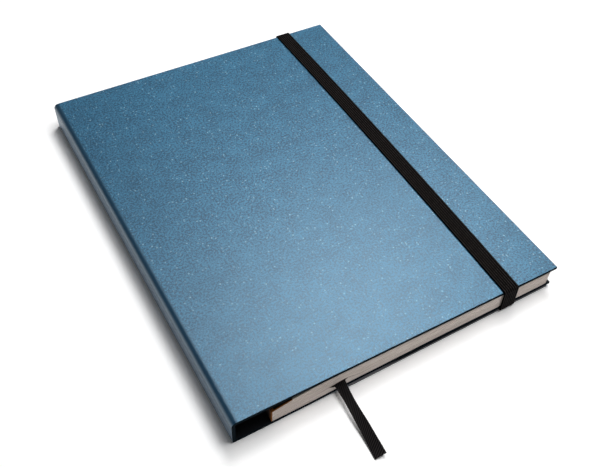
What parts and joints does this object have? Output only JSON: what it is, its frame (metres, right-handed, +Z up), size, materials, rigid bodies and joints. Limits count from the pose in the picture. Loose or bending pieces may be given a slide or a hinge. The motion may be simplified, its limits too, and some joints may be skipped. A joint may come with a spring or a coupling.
{
  "type": "notebook",
  "caption": "Closed notebook with a folded board cover, a free spine, a glued block of leaves, a ribbon marker and a flat elastic; the cover opens flat.",
  "frame": {"origin": "middle of the closed book's footprint, on the surface that it lies on", "axes": "+X from the spine to the fore edge, +Y from the tail to the head, +Z up through the front cover"},
  "size_m": [0.163, 0.2441, 0.0148],
  "materials": {
    "cover_board": "satin",
    "grey_board": "matte",
    "leaves": "matte",
    "strip_cloth": "matte",
    "elastic": "matte",
    "ribbon": "satin"
  },
  "bodies": {
    "root": {"back_cover": "cover_board", "backing_board": "grey_board", "page_block": "leaves", "hinge_strip": "strip_cloth", "elastic_band": "elastic", "bookmark_ribbon": "ribbon", "ribbon_tail": "ribbon"},
    "spine": {"spine_panel": "cover_board"},
    "front": {"front_cover": "cover_board"}
  },
  "joints": [
    {"name": "spine_fold", "type": "hinge", "parent": "root", "child": "spine", "pos_m": [-0.0815, 0, 0], "axis": [0, -1, 0], "range_deg": [0, 90]},
    {"name": "front_fold", "type": "hinge", "parent": "spine", "child": "front", "pos_m": [-0.0815, 0, 0.0148], "axis": [0, -1, 0], "range_deg": [0, 90], "deforming": ["elastic_band"]}
  ],
  "couplings": [
    {"joint": "spine_fold", "follows": "front_fold", "ratio": 1}
  ]
}
